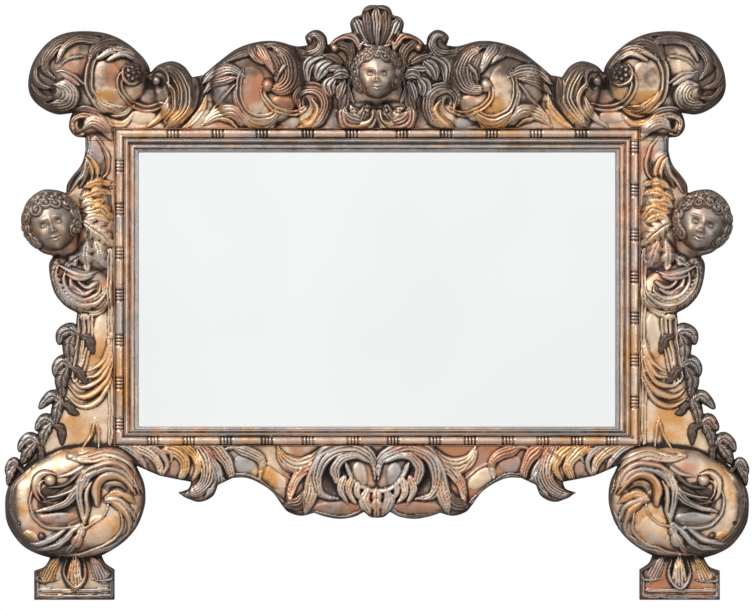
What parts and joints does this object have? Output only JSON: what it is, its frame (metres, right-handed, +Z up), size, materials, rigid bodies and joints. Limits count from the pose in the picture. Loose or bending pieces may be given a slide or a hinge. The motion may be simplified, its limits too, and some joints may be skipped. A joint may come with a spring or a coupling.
{
  "type": "repousse wall mirror",
  "caption": "Wall mirror in an embossed sheet-metal frame with scrolls, leaves and cherub heads over a wooden core, glass held by turn buttons.",
  "frame": {"origin": "on the wall plane at the back of the wooden core, on the centre line, at the height of the two hanging rings", "axes": "+Z up, -Y out of the front of the glass, +X to the right of someone who looks into the mirror"},
  "size_m": [0.7442, 0.0659, 0.5954],
  "materials": {
    "core_wood": "planed, unfinished",
    "peg_wood": "end grain, unfinished",
    "backing_wood": "thin pine panel, unfinished",
    "packing": "plain board",
    "mirror_glass": "silvered glass",
    "copper_sheet": "repousse sheet, aged, with worn silvering",
    "cherub_metal": "repousse, dark patina in the hollows",
    "applied_metal": "repousse, dark patina in the hollows",
    "moulding_metal": "pressed strip, worn silvering",
    "bead_metal": "pressed strip, copper coloured",
    "hardware_brass": "plain brass",
    "screw_steel": "plain"
  },
  "bodies": {
    "frame": {"core_top_rail": "core_wood", "core_bottom_rail": "core_wood", "core_left_stile": "core_wood", "core_right_stile": "core_wood", "lap_pegs": "peg_wood", "back_panel": "backing_wood", "packing_sheet": "packing", "mirror_glass": "mirror_glass", "crest_sheet": "copper_sheet", "left_side_sheet": "copper_sheet", "right_side_sheet": "copper_sheet", "apron_sheet": "copper_sheet", "left_plinth_sheet": "copper_sheet", "right_plinth_sheet": "copper_sheet", "crest_head": "cherub_metal", "left_head": "cherub_metal", "right_head": "cherub_metal", "crest_shell": "applied_metal", "left_wing": "applied_metal", "right_wing": "applied_metal", "left_leaf_garland": "applied_metal", "right_leaf_garland": "applied_metal", "sight_moulding_top": "moulding_metal", "sight_moulding_bottom": "moulding_metal", "sight_moulding_left": "moulding_metal", "sight_moulding_right": "moulding_metal", "bead_moulding_top": "bead_metal", "bead_moulding_bottom": "bead_metal", "bead_moulding_left": "bead_metal", "bead_moulding_right": "bead_metal", "left_strap": "hardware_brass", "right_strap": "hardware_brass", "turn_button_screws": "screw_steel", "strap_screws": "screw_steel"},
    "left_ring": {"left_ring": "hardware_brass"},
    "right_ring": {"right_ring": "hardware_brass"},
    "turn_button_1": {"turn_button_1": "hardware_brass"},
    "turn_button_2": {"turn_button_2": "hardware_brass"},
    "turn_button_3": {"turn_button_3": "hardware_brass"},
    "turn_button_4": {"turn_button_4": "hardware_brass"},
    "turn_button_5": {"turn_button_5": "hardware_brass"},
    "turn_button_6": {"turn_button_6": "hardware_brass"}
  },
  "joints": [
    {"name": "left_ring_hinge", "type": "hinge", "parent": "frame", "child": "left_ring", "pos_m": [-0.283, 0.0028, 0], "axis": [1, 0, 0], "range_deg": [0, 180]},
    {"name": "right_ring_hinge", "type": "hinge", "parent": "frame", "child": "right_ring", "pos_m": [0.283, 0.0028, 0], "axis": [1, 0, 0], "range_deg": [0, 180]},
    {"name": "turn_button_1_pivot", "type": "hinge", "parent": "frame", "child": "turn_button_1", "pos_m": [-0.254, 0.0012, -0.0925], "axis": [0, 1, 0], "continuous": true},
    {"name": "turn_button_2_pivot", "type": "hinge", "parent": "frame", "child": "turn_button_2", "pos_m": [-0.254, 0.0012, -0.1875], "axis": [0, 1, 0], "continuous": true},
    {"name": "turn_button_3_pivot", "type": "hinge", "parent": "frame", "child": "turn_button_3", "pos_m": [-0.254, 0.0012, -0.2825], "axis": [0, 1, 0], "continuous": true},
    {"name": "turn_button_4_pivot", "type": "hinge", "parent": "frame", "child": "turn_button_4", "pos_m": [0.254, 0.0012, -0.0925], "axis": [0, 1, 0], "continuous": true},
    {"name": "turn_button_5_pivot", "type": "hinge", "parent": "frame", "child": "turn_button_5", "pos_m": [0.254, 0.0012, -0.1875], "axis": [0, 1, 0], "continuous": true},
    {"name": "turn_button_6_pivot", "type": "hinge", "parent": "frame", "child": "turn_button_6", "pos_m": [0.254, 0.0012, -0.2825], "axis": [0, 1, 0], "continuous": true}
  ]
}
